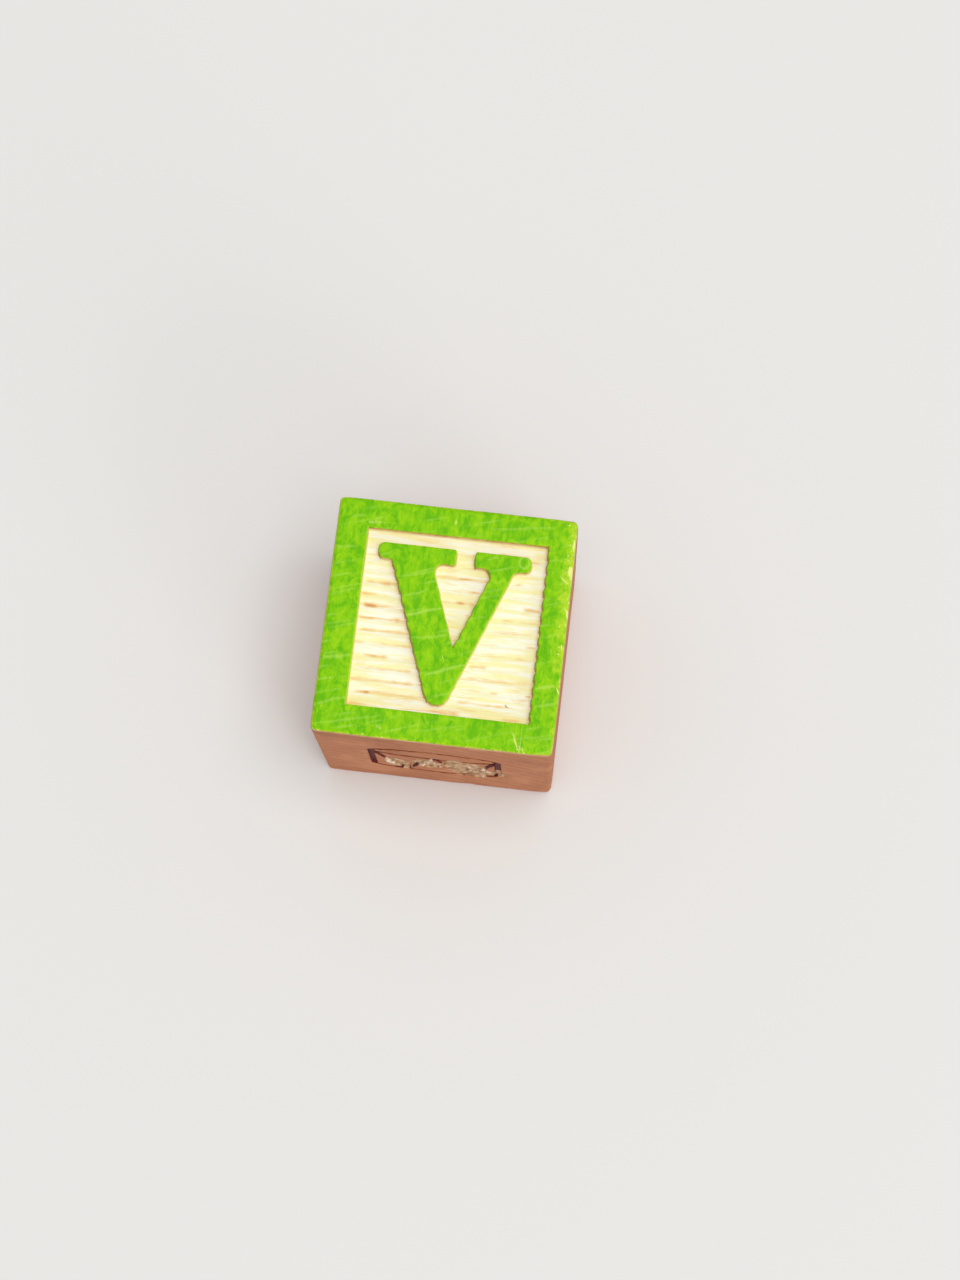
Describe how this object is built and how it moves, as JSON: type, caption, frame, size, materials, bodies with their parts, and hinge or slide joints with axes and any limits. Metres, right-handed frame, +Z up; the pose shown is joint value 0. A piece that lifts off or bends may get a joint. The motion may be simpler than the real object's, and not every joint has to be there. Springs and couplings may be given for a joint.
{
  "type": "alphabet block",
  "caption": "Solid wooden toy cube with a raised painted capital in a ribbed field, a raised numeral opposite and pressed ink pictures on its sides.",
  "frame": {"origin": "centre of the face that the block stands on, which is the painted face with the numeral", "axes": "+Z up, out of the face with the capital; +Y towards the top of the capital; +X to the right of it, so the front side faces -Y"},
  "size_m": [0.03, 0.03, 0.03],
  "materials": {
    "bare_wood": "bare sanded wood, ribbed by the cutter in the fields",
    "green_paint": "thin satin toy paint with the grain showing through",
    "red_paint": "thin satin toy paint with the grain showing through",
    "dark_ink": "matt dark maroon ink, soaked into the pressed wood"
  },
  "bodies": {
    "root": {"wood_block": "bare_wood", "letter_border_paint": "green_paint", "letter_paint": "green_paint", "number_border_paint": "red_paint", "number_paint": "red_paint", "front_picture_ink": "dark_ink", "right_picture_ink": "dark_ink", "back_picture_ink": "dark_ink", "left_picture_ink": "dark_ink"}
  },
  "joints": []
}
